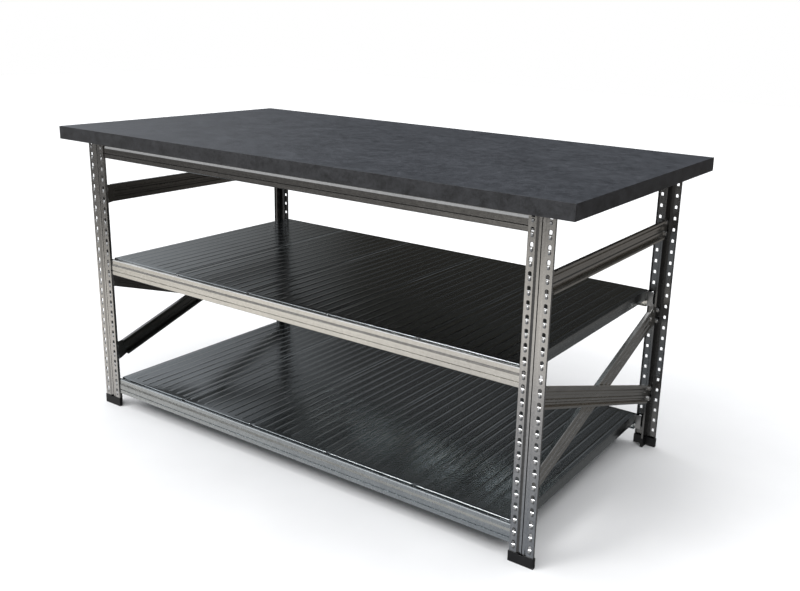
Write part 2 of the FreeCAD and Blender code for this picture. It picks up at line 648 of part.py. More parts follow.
# ---------------------------------------------------------------------------------------------------
# End frames: channels with flattened ends, bolted to the stems. The tie and one brace lie on the outer
# side of the stems and the crossing brace lies on the inner side.
# ---------------------------------------------------------------------------------------------------
HALF_BRACE_GAUGE = "brace_gauge / 2"
FLANGE_LINE = f"(brace_height / 2 - {HALF_BRACE_GAUGE})"
HALF_CHANNEL_LINE = [
    (f"brace_depth - {HALF_BRACE_GAUGE}", "brace_height / 2 - brace_lip"),
    (f"brace_depth - {HALF_BRACE_GAUGE}", FLANGE_LINE),
    (f"{HALF_BRACE_GAUGE} + brace_bend", FLANGE_LINE),
    (HALF_BRACE_GAUGE, f"{FLANGE_LINE} - brace_bend"),
    (HALF_BRACE_GAUGE, "bead_centre + bead_foot / 2"),
    (f"{HALF_BRACE_GAUGE} + bead_rise", "bead_centre + bead_crown / 2"),
    (f"{HALF_BRACE_GAUGE} + bead_rise", "bead_centre - bead_crown / 2"),
    (HALF_BRACE_GAUGE, "bead_centre - bead_foot / 2"),
]
channel_line = HALF_CHANNEL_LINE + [(out, f"-({up})") for out, up in HALF_CHANNEL_LINE[::-1]]


def channel(name, span, sine, cosine):
    """A channel between two bolt rows; sine and cosine set how the upright bolt pairs cross its ends."""
    length = f"({span} - 2 * tongue_before_bolt)"
    run = rolled_section(name, "XZ_Plane", channel_line, "brace_gauge", length, AXIS_Y)
    body = new_body(name + "_master", run)
    tongues = new_sketch(body, name + "_tongues", "YZ_Plane")
    for sign in ("-", ""):
        near = f"{sign}({length} / 2 - tongue_overlap)"
        flare = f"{sign}({span} / 2 - tongue_past_bolt)"
        corner = f"{sign}({span} / 2 + tongue_past_bolt - tongue_corner)"
        far = f"{sign}({span} / 2 + tongue_past_bolt)"
        outline = [
            (near, "-brace_height / 2 + brace_bend"),
            (flare, "-tongue_height / 2"),
            (corner, "-tongue_height / 2"),
            (far, "tongue_corner - tongue_height / 2"),
            (far, "tongue_height / 2 - tongue_corner"),
            (corner, "tongue_height / 2"),
            (flare, "tongue_height / 2"),
            (near, "brace_height / 2 - brace_bend"),
        ]
        draw(tongues, outline, closed=True)
    doc.recompute()
    pad(body, name + "_tongue_pad", tongues, "brace_gauge")
    holes = new_sketch(body, name + "_bolt_holes", "YZ_Plane")
    for sign in ("-", ""):
        for offset in ("-", "+"):
            across = f"{sign}{span} / 2 {offset} bolt_pair / 2 * {sine}"
            draw_circle(holes, across, f"0 {offset} bolt_pair / 2 * {cosine}", "bolt_hole / 2")
    doc.recompute()
    pocket(body, name + "_bolt_cut", holes, "4 * brace_gauge", middle=True)
    return body


tie = channel("tie", "brace_run", "0", "1")
brace = channel("brace", "brace_span", "brace_sine", "brace_cosine")

# Hexagon bolt and nut, their axis along X with the head towards +X; X = 0 is the face under the head
bolt_head = doc.addObject("Part::Prism", "bolt_head")
bolt_head.Polygon = 6
bolt_head.Placement = FreeCAD.Placement(ORIGIN, FreeCAD.Rotation(AXIS_Y, 90))
bind(bolt_head, Circumradius="bolt_head_radius", Height="bolt_head_height")
bolt_shank = doc.addObject("Part::Cylinder", "bolt_shank")
bolt_shank.Placement = FreeCAD.Placement(ORIGIN, FreeCAD.Rotation(AXIS_Y, -90))
bind(bolt_shank, Radius="bolt_diameter / 2", Height="shank_length")
bolt = doc.addObject("Part::MultiFuse", "bolt_master")
bolt.Shapes = [bolt_head, bolt_shank]
nut_block = doc.addObject("Part::Prism", "nut_block")
nut_block.Polygon = 6
nut_block.Placement = FreeCAD.Placement(ORIGIN, FreeCAD.Rotation(AXIS_Y, -90))
bind(nut_block, Circumradius="bolt_head_radius", Height="nut_height", Placement__Base__x="-grip")
nut_bore = doc.addObject("Part::Cylinder", "nut_bore")
nut_bore.Placement = FreeCAD.Placement(ORIGIN, FreeCAD.Rotation(AXIS_Y, -90))
bind(nut_bore, Radius="bolt_diameter / 2", Height="shank_length")
nut = doc.addObject("Part::Cut", "nut_master")
nut.Base = nut_block
nut.Tool = nut_bore
doc.recompute()

BRACE_SLOPE = number("acos(brace_cosine)")


def moved(line, sign, amount):
    """The formula of a line moved by an amount, outwards or back as its sign says."""
    return f"{line} {sign or '+'} ({amount})"


for side, x_sign in SIDES:
    outward = FACING_FRONT if side == "right" else FACING_REAR
    inward = FACING_REAR if side == "right" else FACING_FRONT
    out_sign = "" if side == "right" else "-"
    in_sign = "-" if side == "right" else ""
    stem_line = f"{x_sign}post_spacing / 2"
    outer_face = moved(stem_line, out_sign, "stem_width / 2")
    inner_face = moved(stem_line, in_sign, "stem_width / 2")
    node(place(f"{side}_side_tie", tie, (outer_face, "0", "tie_centre"), outward), f"{side}_side_tie")
    falling = FreeCAD.Rotation(AXIS_X, -BRACE_SLOPE)
    rising = FreeCAD.Rotation(AXIS_X, BRACE_SLOPE)
    outer_brace = place(f"{side}_outer_brace", brace, (outer_face, "0", "brace_mid"), falling.multiply(outward))
    node(outer_brace, f"{side}_outer_brace")
    inner_brace = place(f"{side}_inner_brace", brace, (inner_face, "0", "brace_mid"), rising.multiply(inward))
    node(inner_brace, f"{side}_inner_brace")

    bolts = []
    nuts = []
    joints = [
        # name, height of the pair, bolt rows it uses, face the channel lies on, direction of the head
        ("tie", "tie_centre", ("-", ""), outer_face, out_sign, outward),
        ("outer_high", "brace_high_centre", ("-",), outer_face, out_sign, outward),
        ("outer_low", "brace_low_centre", ("",), outer_face, out_sign, outward),
        ("inner_high", "brace_high_centre", ("",), inner_face, in_sign, inward),
        ("inner_low", "brace_low_centre", ("-",), inner_face, in_sign, inward),
    ]
    for joint, centre, rows, face, sign, heading in joints:
        for row in rows:
            for step, offset in (("low", "-"), ("high", "+")):
                spot = (
                    moved(face, sign, "brace_gauge"),
                    f"{row}bolt_row",
                    f"{centre} {offset} bolt_pair / 2",
                )
                label = f"{side}_{joint}_{'front' if row == '-' else 'rear'}_{step}"
                bolts.append(place(f"bolt_{label}", bolt, spot, heading))
                nuts.append(place(f"nut_{label}", nut, spot, heading))
    group(f"{side}_frame_bolts", bolts)
    group(f"{side}_frame_nuts", nuts)

# ---------------------------------------------------------------------------------------------------
# Checks and output
# ---------------------------------------------------------------------------------------------------
doc.recompute()
for thing in doc.Objects:
    if "Invalid" in thing.State or "Error" in thing.State:
        raise RuntimeError(f"{thing.Name}: {thing.State}")
for thing in nodes:
    if thing.Shape.isNull() or not thing.Shape.isValid():
        raise RuntimeError(f"{thing.Label} has a bad shape")
    thing.Shape.exportStep(f"parts/{thing.Label}.step")
    box = thing.Shape.BoundBox
    print(
        f"{thing.Label:28s} solids {len(thing.Shape.Solids):3d} volume {thing.Shape.Volume:12.1f} "
        f"X {box.XMin:8.1f} {box.XMax:8.1f} Y {box.YMin:8.1f} {box.YMax:8.1f} Z {box.ZMin:7.1f} {box.ZMax:7.1f}"
    )
print(len(nodes), "nodes")
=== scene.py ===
import math

import bmesh
import bpy
from mathutils import Matrix, Vector


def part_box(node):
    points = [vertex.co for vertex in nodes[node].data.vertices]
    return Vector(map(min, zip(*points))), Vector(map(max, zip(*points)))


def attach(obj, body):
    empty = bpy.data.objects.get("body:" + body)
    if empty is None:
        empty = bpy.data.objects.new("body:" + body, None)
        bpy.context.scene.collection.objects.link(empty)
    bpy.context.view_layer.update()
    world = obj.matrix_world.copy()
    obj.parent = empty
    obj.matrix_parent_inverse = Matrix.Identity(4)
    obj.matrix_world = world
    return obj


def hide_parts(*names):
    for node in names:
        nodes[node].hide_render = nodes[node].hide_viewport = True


# Looks for the rack workbench: worktop laminate, galvanised sections, plastic feet, light and camera.
# Metres, +Z up, the bench's front faces -Y.

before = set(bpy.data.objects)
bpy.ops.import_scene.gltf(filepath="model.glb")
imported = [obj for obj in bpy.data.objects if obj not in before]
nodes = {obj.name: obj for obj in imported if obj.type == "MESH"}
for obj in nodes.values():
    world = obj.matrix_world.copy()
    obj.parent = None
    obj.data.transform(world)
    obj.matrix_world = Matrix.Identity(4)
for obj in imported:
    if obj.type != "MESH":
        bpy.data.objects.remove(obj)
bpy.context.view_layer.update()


# ---------------------------------------------------------------------------------------------------
# Material tools
# ---------------------------------------------------------------------------------------------------
class Graph:
    """A node tree being built: short calls for the nodes used below."""

    def __init__(self, tree, coordinates):
        self.tree = tree
        self.shader = tree.nodes.get("Principled BSDF")
        self.place = tree.nodes.new("ShaderNodeTexCoord").outputs[coordinates]

    def link(self, source, target):
        self.tree.links.new(source, target)

    def set(self, **values):
        """Set shader sockets; an underscore stands for a space."""
        for name, value in values.items():
            self.shader.inputs[name.replace("_", " ")].default_value = value

    def scaled(self, x, y, z):
        """Object coordinates stretched along the axes."""
        mapping = self.tree.nodes.new("ShaderNodeMapping")
        mapping.inputs["Scale"].default_value = (x, y, z)
        self.link(self.place, mapping.inputs["Vector"])
        return mapping.outputs["Vector"]

    def noise(self, scale, detail=4.0, roughness=0.5, place=None, distortion=0.0):
        node = self.tree.nodes.new("ShaderNodeTexNoise")
        node.inputs["Scale"].default_value = scale
        node.inputs["Detail"].default_value = detail
        node.inputs["Roughness"].default_value = roughness
        node.inputs["Distortion"].default_value = distortion
        self.link(place or self.place, node.inputs["Vector"])
        return node.outputs["Fac"]

    def cells(self, scale, place=None):
        """One random value in each crystal-like cell."""
        node = self.tree.nodes.new("ShaderNodeTexVoronoi")
        node.inputs["Scale"].default_value = scale
        self.link(place or self.place, node.inputs["Vector"])
        split = self.tree.nodes.new("ShaderNodeSeparateColor")
        self.link(node.outputs["Color"], split.inputs["Color"])
        return split.outputs["Red"]

    def spread(self, value, low, high, new_low, new_high):
        """Map a value from one range to another and hold it there."""
        node = self.tree.nodes.new("ShaderNodeMapRange")
        node.inputs["From Min"].default_value = low
        node.inputs["From Max"].default_value = high
        node.inputs["To Min"].default_value = new_low
        node.inputs["To Max"].default_value = new_high
        self.link(value, node.inputs["Value"])
        return node.outputs["Result"]

    def math(self, operation, first, second):
        node = self.tree.nodes.new("ShaderNodeMath")
        node.operation = operation
        for socket, value in zip(node.inputs, (first, second)):
            if isinstance(value, (int, float)):
                socket.default_value = value
            else:
                self.link(value, socket)
        return node.outputs["Value"]

    def mixed(self, *parts):
        """The sum of values, each with its weight."""
        total = None
        for value, weight in parts:
            weighted = self.math("MULTIPLY", value, weight)
            total = weighted if total is None else self.math("ADD", total, weighted)
        return total

    def ramp(self, value, stops):
        """A colour for each stop (position, (r, g, b))."""
        node = self.tree.nodes.new("ShaderNodeValToRGB")
        elements = node.color_ramp.elements
        while len(elements) < len(stops):
            elements.new(0.5)
        for element, (position, colour) in zip(elements, stops):
            element.position = position
            element.color = (*colour, 1.0)
        self.link(value, node.inputs["Fac"])
        return node.outputs["Color"]

    def blend(self, kind, factor, first, second):
        node = self.tree.nodes.new("ShaderNodeMix")
        node.data_type = "RGBA"
        node.blend_type = kind
        sockets = [socket for socket in node.inputs if socket.enabled]
        for socket, value in zip(sockets, (factor, first, second)):
            if isinstance(value, (int, float)):
                socket.default_value = value
            elif isinstance(value, tuple):
                socket.default_value = (*value, 1.0)
            else:
                self.link(value, socket)
        return [socket for socket in node.outputs if socket.enabled][0]

    def bump(self, height, strength, distance):
        node = self.tree.nodes.new("ShaderNodeBump")
        node.inputs["Strength"].default_value = strength
        node.inputs["Distance"].default_value = distance
        self.link(height, node.inputs["Height"])
        self.link(node.outputs["Normal"], self.shader.inputs["Normal"])
        return node


def new_material(name):
    """A material and the graph of its nodes, in object coordinates."""
    material = bpy.data.materials.new(name)
    material.use_nodes = True
    return material, Graph(material.node_tree, "Object")


# Texture scales that draw the rolling lines of a section out along one axis
ALONG_X = (4.0, 330.0, 330.0)
ALONG_Y = (330.0, 4.0, 330.0)
ALONG_Z = (330.0, 330.0, 4.0)
SPANGLE = 170.0  # zinc crystals in a metre
FINE_SPANGLE = 600.0
DARK_SHARE = 0.80  # darkest and lightest zinc, as shares of its tone
LIGHT_SHARE = 1.18


def galvanised(name, tone_with_painted_light, tint, roughness, along=ALONG_X, spangle=SPANGLE, wave=0.0):
    """Zinc-coated sheet: rolling lines along the section, faint spangle, dull stains and uneven gloss;
    the tone and tint set for each part are painted light, shade and reflection on top of the zinc's own
    grey.
    """
    material, graph = new_material(name)
    crystals = graph.cells(spangle)
    fine = graph.noise(1.0, 4.0, 0.7, graph.scaled(*along))
    broad = graph.noise(0.22, 3.0, 0.6, graph.scaled(*along))
    stains = graph.noise(6.0, 5.0, 0.6)
    value = graph.mixed((crystals, 0.12), (fine, 0.50), (broad, 0.38))
    # Both ends of the ramp scale with the part's tone and tint, which carry painted light, shade and
    # reflection.
    low = tuple(tone_with_painted_light * DARK_SHARE * part for part in tint)
    high = tuple(min(1.0, tone_with_painted_light * LIGHT_SHARE * part) for part in tint)
    colour = graph.ramp(value, [(0.30, low), (0.70, high)])
    dull = graph.spread(stains, 0.45, 0.78, 0.0, 0.30)
    colour = graph.blend("MULTIPLY", dull, colour, (0.70, 0.71, 0.72))
    graph.link(colour, graph.shader.inputs["Base Color"])
    rough = graph.spread(value, 0.25, 0.75, roughness * 0.80, roughness * 1.22)
    graph.link(rough, graph.shader.inputs["Roughness"])
    graph.set(Metallic=1.0)
    height = graph.mixed((crystals, 0.10), (fine, 0.9))
    if wave:
        rolling = graph.noise(5.0, 2.0, 0.5, graph.scaled(1.0, 0.35, 1.0))
        height = graph.math("ADD", height, graph.math("MULTIPLY", rolling, wave))
    graph.bump(height, 0.30, 0.00006)
    return material


def stone_laminate(name, dark, light, roughness, scale=1.0):
    """Anthracite laminate with a mottled slate look and a satin press texture."""
    material, graph = new_material(name)
    clouds = graph.noise(9.0 * scale, 8.0, 0.68, distortion=0.6)
    blotches = graph.noise(38.0 * scale, 6.0, 0.7, distortion=0.9)
    grit = graph.noise(420.0, 3.0, 0.7)
    value = graph.mixed((clouds, 0.40), (blotches, 0.42), (grit, 0.18))
    middle = tuple((a + b) / 2.0 for a, b in zip(dark, light))
    colour = graph.ramp(value, [(0.34, dark), (0.50, middle), (0.66, light)])
    graph.link(colour, graph.shader.inputs["Base Color"])
    rough = graph.spread(blotches, 0.3, 0.7, roughness * 0.85, roughness * 1.15)
    graph.link(rough, graph.shader.inputs["Roughness"])
    graph.set(IOR=1.5)
    graph.bump(graph.math("ADD", grit, graph.math("MULTIPLY", blotches, 0.6)), 0.25, 0.0003)
    return material


def moulded_plastic(name, colour, roughness):
    """Injection-moulded plastic with a fine spark-eroded grain."""
    material, graph = new_material(name)
    grain = graph.noise(1400.0, 2.0, 0.6)
    scuffs = graph.noise(25.0, 6.0, 0.65)
    light = tuple(part * 1.7 + 0.004 for part in colour)
    graph.link(graph.ramp(scuffs, [(0.45, colour), (0.8, light)]), graph.shader.inputs["Base Color"])
    rough = graph.spread(scuffs, 0.3, 0.7, roughness * 0.85, roughness * 1.2)
    graph.link(rough, graph.shader.inputs["Roughness"])
    graph.bump(grain, 0.3, 0.0002)
    return material


def chipboard(name):
    """Pressed wood chips, seen only at a cut edge."""
    material, graph = new_material(name)
    chips = graph.cells(260.0, graph.scaled(0.5, 0.5, 1.6))
    dust = graph.noise(300.0, 3.0, 0.7)
    value = graph.mixed((chips, 0.6), (dust, 0.4))
    dark, middle, light = (0.25, 0.16, 0.09), (0.45, 0.32, 0.19), (0.62, 0.48, 0.31)
    colour = graph.ramp(value, [(0.2, dark), (0.5, middle), (0.8, light)])
    graph.link(colour, graph.shader.inputs["Base Color"])
    graph.set(Roughness=0.85)
    graph.bump(value, 0.5, 0.0005)
    return material


NEUTRAL = (1.0, 1.0, 1.0)
# The warm and cool tints for zinc parts are painted reflection: the cream or bluish cast of what a part
# mirrors, not a colour of the zinc.
PAINTED_WARM_REFLECTION = (1.0, 0.975, 0.93)
PAINTED_COOL_REFLECTION = (0.93, 0.98, 1.0)
STONE_DARK = (0.019, 0.021, 0.0255)
STONE_LIGHT = (0.066, 0.071, 0.082)
EDGE_DARK = (0.0015, 0.0016, 0.0018)
EDGE_LIGHT = (0.046, 0.047, 0.052)

# The zinc parts are lit and shaded copies of one galvanised finish: each part's tone (0.21 to 0.88) and
# tint stand in for the light, shade and reflections it catches. Painted shade darkens the rear posts
# inside the bench and the upper beams under the worktop overhang; painted light brightens the middle
# beams.
looks = {
    "worktop_core": chipboard("chipboard"),
    "worktop_laminate": stone_laminate("worktop_stone", STONE_DARK, STONE_LIGHT, 0.38),
    "worktop_backing": moulded_plastic("backing_paper", (0.030, 0.028, 0.026), 0.6),
    "worktop_edge": stone_laminate("edge_stone", EDGE_DARK, EDGE_LIGHT, 0.46, 2.6),
    "foot_cap": moulded_plastic("foot_plastic", (0.006, 0.006, 0.0065), 0.45),
    "front_post": galvanised("front_post_zinc", 0.60, NEUTRAL, 0.20, ALONG_Z),
    "rear_post": galvanised("rear_post_zinc", 0.21, NEUTRAL, 0.28, ALONG_Z),
    "upper_beam": galvanised("upper_beam_zinc", 0.46, NEUTRAL, 0.15, ALONG_X),
    "middle_beam": galvanised("middle_beam_zinc", 0.88, PAINTED_WARM_REFLECTION, 0.22, ALONG_X),
    "lower_beam": galvanised("lower_beam_zinc", 0.64, PAINTED_COOL_REFLECTION, 0.26, ALONG_X),
    "hooks": galvanised("hook_zinc", 0.50, NEUTRAL, 0.4),
    "panel": galvanised("panel_zinc", 0.60, PAINTED_COOL_REFLECTION, 0.17, ALONG_Y, wave=1.0),
    "right_frame": galvanised("right_frame_zinc", 0.84, PAINTED_WARM_REFLECTION, 0.20, ALONG_Y),
    "left_frame": galvanised("left_frame_zinc", 0.30, PAINTED_WARM_REFLECTION, 0.30, ALONG_Y),
    "fastener": galvanised("fastener_zinc", 0.85, NEUTRAL, 0.25, spangle=FINE_SPANGLE),
}


def look_of(name):
    """The finish that a CAD node gets."""
    if name.startswith("worktop_edge"):
        return looks["worktop_edge"]
    if name in looks:
        return looks[name]
    if name.startswith("foot_cap"):
        return looks["foot_cap"]
    if name.startswith("post_front"):
        return looks["front_post"]
    if name.startswith("post_rear"):
        return looks["rear_post"]
    if name.endswith("_hooks"):
        return looks["hooks"]
    if "_shelf_panel_" in name:
        return looks["panel"]
    if name.endswith("_beam"):
        return looks[name.split("_")[0] + "_beam"]
    if name.endswith("_bolts") or name.endswith("_nuts"):
        return looks["fastener"]
    return looks[name.split("_")[0] + "_frame"]


for name, item in nodes.items():
    item.data.materials.clear()
    item.data.materials.append(look_of(name))

# ---------------------------------------------------------------------------------------------------
# Mesh tools
# ---------------------------------------------------------------------------------------------------
MM = 0.001
MERGE_DISTANCE = 0.01 * MM
SHARP_ANGLE = math.radians(35)
BEVEL_ANGLE = math.radians(28)


def new_piece(name, mesh, node):
    """A finished piece that stands for a CAD node, linked under the root body, with that node hidden."""
    piece = bpy.data.objects.new(name, mesh)
    bpy.context.scene.collection.objects.link(piece)
    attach(piece, "root")
    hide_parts(node)
    return piece


def smooth(mesh):
    """Shade a mesh smooth and keep its real edges crisp."""
    mesh.polygons.foreach_set("use_smooth", [True] * len(mesh.polygons))
    mesh.set_sharp_from_angle(angle=SHARP_ANGLE)


def grid_faces(rows, columns, first=0, closed=False):
    """Quads between neighbouring rows of points."""
    faces = []
    for row in range(rows - 1):
        for column in range(columns if closed else columns - 1):
            following = (column + 1) % columns
            low = first + row * columns
            high = low + columns
            faces.append((low + column, low + following, high + following, high + column))
    return faces


def soften(item, width):
    """Round the edges of a CAD solid a little, as rolled and moulded edges are."""
    weld = item.modifiers.new("weld", "WELD")
    weld.merge_threshold = MERGE_DISTANCE
    bevel = item.modifiers.new("soft_edges", "BEVEL")
    bevel.width = width
    bevel.segments = 2
    bevel.limit_method = "ANGLE"
    bevel.angle_limit = BEVEL_ANGLE
    bevel.harden_normals = False
    bevel.use_clamp_overlap = True
    normals = item.modifiers.new("normals", "WEIGHTED_NORMAL")
    normals.keep_sharp = True


# ---------------------------------------------------------------------------------------------------
# Shelf panels: thin sheet with pressed ribs that run out before the folded ends
# ---------------------------------------------------------------------------------------------------
PANEL_GAUGE = 0.8 * MM
RIB_COUNT = 9
RIB_FOOT = 10 * MM
RIB_RISE = 2 * MM  # ribs of the CAD panel, which reach up to the top of its box
SHEET_RIB_RISE = 0.7 * MM
SEAM_GAP = 0.1 * MM
RIB_START = 9 * MM
RIB_RUN_OUT = 14 * MM
RUN_OUT_STEPS = 7
RIB_ROUNDNESS = 0.7
RIB_HALF = (0.1, 0.2, 0.3, 0.4, 0.5, 0.62)  # points across half a rib, in widths of its foot
FOLD_RADIUS = 1.5 * MM
FOLD_STEPS = 5
PANEL_RETURN = 10 * MM


def quarter_turn():
    """How far along and how far off a quarter bend runs, step by step."""
    for step in range(1, FOLD_STEPS + 1):
        angle = math.pi / 2 * step / FOLD_STEPS
        yield FOLD_RADIUS * math.sin(angle), FOLD_RADIUS * (1 - math.cos(angle))


def fold_down(start):
    """Points of a section round a quarter bend, from a flat at height zero to a downright wall."""
    return [(start + along, -off) for along, off in quarter_turn()]


def shelf_panel_mesh(low, high):
    """One panel between two corners: ribbed top, folded sides with inward returns and folded ends."""
    half_width = (high.x - low.x) / 2 - SEAM_GAP
    half_length = (high.y - low.y) / 2
    depth = high.z - low.z - RIB_RISE
    rib_pitch = 2 * half_width / RIB_COUNT
    flat_edge = half_width - FOLD_RADIUS
    across = [-flat_edge]
    rib_points = [-part for part in RIB_HALF[::-1]] + [0] + list(RIB_HALF)
    for rib in range(RIB_COUNT):
        centre = (rib - (RIB_COUNT - 1) / 2) * rib_pitch
        across += [centre + RIB_FOOT * part for part in rib_points]
    across.append(flat_edge)

    def rib_height(x):
        """A round-backed rib with soft feet."""
        offset = (x + half_width) % rib_pitch - rib_pitch / 2
        reach = min(1.0, abs(offset) / (RIB_FOOT / 2))
        return SHEET_RIB_RISE * (0.5 + 0.5 * math.cos(math.pi * reach)) ** RIB_ROUNDNESS

    # Rows from front to back: (y, share of the full rib height)
    stations = [(-half_length + FOLD_RADIUS, 0.0)]
    for step in range(RUN_OUT_STEPS + 1):
        share = step / RUN_OUT_STEPS
        distance = RIB_START + RIB_RUN_OUT * share
        stations.append((-half_length + distance, share * share * (3 - 2 * share)))
    stations += [(-half_length / 2, 1.0), (0.0, 1.0)]
    stations += [(-y, share) for y, share in stations[-2::-1]]

    side = fold_down(flat_edge)
    side += [(half_width, -depth / 2), (half_width, FOLD_RADIUS - depth)]
    side += [(half_width - off, FOLD_RADIUS - depth - along) for along, off in quarter_turn()]
    side.append((half_width - PANEL_RETURN, -depth))

    vertices = []
    for y, share in stations:
        row = [(-x, z) for x, z in side[::-1]]
        row += [(x, rib_height(x) * share) for x in across]
        row += side
        vertices += [(x, y, z) for x, z in row]
    columns = len(across) + 2 * len(side)
    faces = grid_faces(len(stations), columns)

    # Folded ends: the flat border turns down between the two side bends
    for sign in (-1, 1):
        first = len(vertices)
        profile = [(half_length - FOLD_RADIUS, 0.0)]
        profile += fold_down(half_length - FOLD_RADIUS)
        profile += [(half_length, -depth / 2), (half_length, -depth)]
        for y, z in profile:
            vertices += [(x, sign * y, z) for x in across]
        strip = grid_faces(len(profile), len(across), first)
        faces += strip if sign > 0 else [face[::-1] for face in strip]
    mesh = bpy.data.meshes.new("shelf_panel")
    mesh.from_pydata(vertices, [], faces)
    work = bmesh.new()
    work.from_mesh(mesh)
    bmesh.ops.remove_doubles(work, verts=work.verts, dist=MERGE_DISTANCE)
    bmesh.ops.recalc_face_normals(work, faces=work.faces)
    if sum(face.normal.z * face.calc_area() for face in work.faces) < 0:
        bmesh.ops.reverse_faces(work, faces=work.faces)
    work.to_mesh(mesh)
    work.free()
    smooth(mesh)
    return mesh


panel_mesh = shelf_panel_mesh(*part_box("middle_shelf_panel_3"))
for name in sorted(nodes):
    if "_shelf_panel_" in name:
        low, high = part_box(name)
        sheet = new_piece(name + "_sheet", panel_mesh, name)
        sheet.location = ((low.x + high.x) / 2, (low.y + high.y) / 2, high.z - RIB_RISE)
        gauge = sheet.modifiers.new("gauge", "SOLIDIFY")
        gauge.thickness = PANEL_GAUGE
        gauge.offset = -1.0
panel_mesh.materials.append(looks["panel"])


# ---------------------------------------------------------------------------------------------------
# Bolts and nuts: chamfered hexagons and cut threads, at the places of the CAD ones
# ---------------------------------------------------------------------------------------------------
HEX_FLAT = 6.5 * MM
HEX_CORNER = 7.5 * MM
CHAMFER = 0.9 * MM
THREAD_RADIUS = 4.0 * MM
THREAD_ROOT = 3.5 * MM
THREAD_PITCH = 1.25 * MM
THREAD_START = 0.2 * MM
POINT_LENGTH = 0.6 * MM
POINT_RADIUS = 3.2 * MM
CHAMFER_BULGE = 0.2 * MM
HEAD_FACE_RADIUS = 4.2 * MM
HEAD_DISH = 0.25 * MM
BORE_MOUTH = 4.5 * MM
BORE_CHAMFER = 0.5 * MM
ROUND_STEPS = 36


def hexagon(angle):
    """Radius of the hexagon in one direction; a corner points up."""
    turn = (angle + math.pi / 6) % (math.pi / 3) - math.pi / 6
    return HEX_FLAT / math.cos(turn - math.copysign(math.pi / 6, turn))


def lathe(work, rings, spot, heading):
    """Join rings of points (distance along the axis, radius or radius function) into a surface."""
    rows = []
    for along, radius in rings:
        row = []
        for step in range(ROUND_STEPS):
            angle = 2 * math.pi * step / ROUND_STEPS
            reach = radius(angle) if callable(radius) else radius
            point = (heading * along, reach * math.sin(angle), reach * math.cos(angle))
            row.append(work.verts.new(Vector(spot) + Vector(point)))
        rows.append(row)
    for low, high in zip(rows, rows[1:]):
        for step in range(ROUND_STEPS):
            following = (step + 1) % ROUND_STEPS
            work.faces.new((low[step], low[following], high[following], high[step]))
    return rows


def chamfered(edge):
    """The hexagon held inside a cone, which leaves the round-cornered chamfer of a pressed head."""
    return lambda angle: min(hexagon(angle), HEX_FLAT + edge)


def chamfer_ring(part):
    """A ring of the chamfer; part runs from 0 at the end face to 1 where the flats begin."""
    slope = HEX_CORNER - HEX_FLAT
    return CHAMFER * part, chamfered(slope * part - CHAMFER_BULGE * (1 - part))


def add_head(work, spot, heading, height):
    """A hexagon head whose under face is at the spot."""
    full = chamfered(HEX_CORNER - HEX_FLAT)
    rings = [(0.0, full)]
    rings += [(height - along, radius) for along, radius in map(chamfer_ring, (1.0, 0.66, 0.33, 0.0))]
    rings.append((height - HEAD_DISH, HEAD_FACE_RADIUS))
    rows = lathe(work, rings, spot, heading)
    work.faces.new(rows[-1])
    work.faces.new(rows[0][::-1])


def add_shank(work, spot, heading, length):
    """A threaded shank with a chamfered point, from the spot onwards."""
    rings = [(0.0, THREAD_RADIUS)]
    turns = int((length - 2 * POINT_LENGTH) / THREAD_PITCH)
    for turn in range(turns):
        start = turn * THREAD_PITCH + THREAD_START
        rings += [
            (start, THREAD_RADIUS),
            (start + 0.5 * THREAD_PITCH, THREAD_ROOT),
            (start + 0.9 * THREAD_PITCH, THREAD_RADIUS),
        ]
    rings += [(length - POINT_LENGTH, THREAD_RADIUS), (length, POINT_RADIUS)]
    rows = lathe(work, rings, spot, heading)
    work.faces.new(rows[-1])
    work.faces.new(rows[0][::-1])


def add_nut(work, spot, heading, height):
    """A hexagon nut chamfered on both faces, with its bore."""
    faces = [chamfer_ring(part) for part in (0.0, 0.33, 0.66, 1.0)]
    outside = faces + [(height - along, radius) for along, radius in faces[::-1]]
    inside = [
        (height, BORE_MOUTH),
        (height - BORE_CHAMFER, THREAD_RADIUS),
        (BORE_CHAMFER, THREAD_RADIUS),
        (0.0, BORE_MOUTH),
    ]
    lathe(work, outside + inside + outside[:1], spot, heading)


def islands(item):
    """The separate solids of a CAD node, each as the list of its corner points."""
    work = bmesh.new()
    work.from_mesh(item.data)
    bmesh.ops.remove_doubles(work, verts=work.verts, dist=MERGE_DISTANCE)
    left = set(work.verts)
    found = []
    while left:
        stack = [left.pop()]
        members = []
        while stack:
            vertex = stack.pop()
            members.append(vertex.co.copy())
            for edge in vertex.link_edges:
                other = edge.other_vert(vertex)
                if other in left:
                    left.remove(other)
                    stack.append(other)
        found.append(members)
    work.free()
    return found


def span(points, axis):
    """Lowest and highest value of a list of points along one axis."""
    values = [point[axis] for point in points]
    return min(values), max(values)


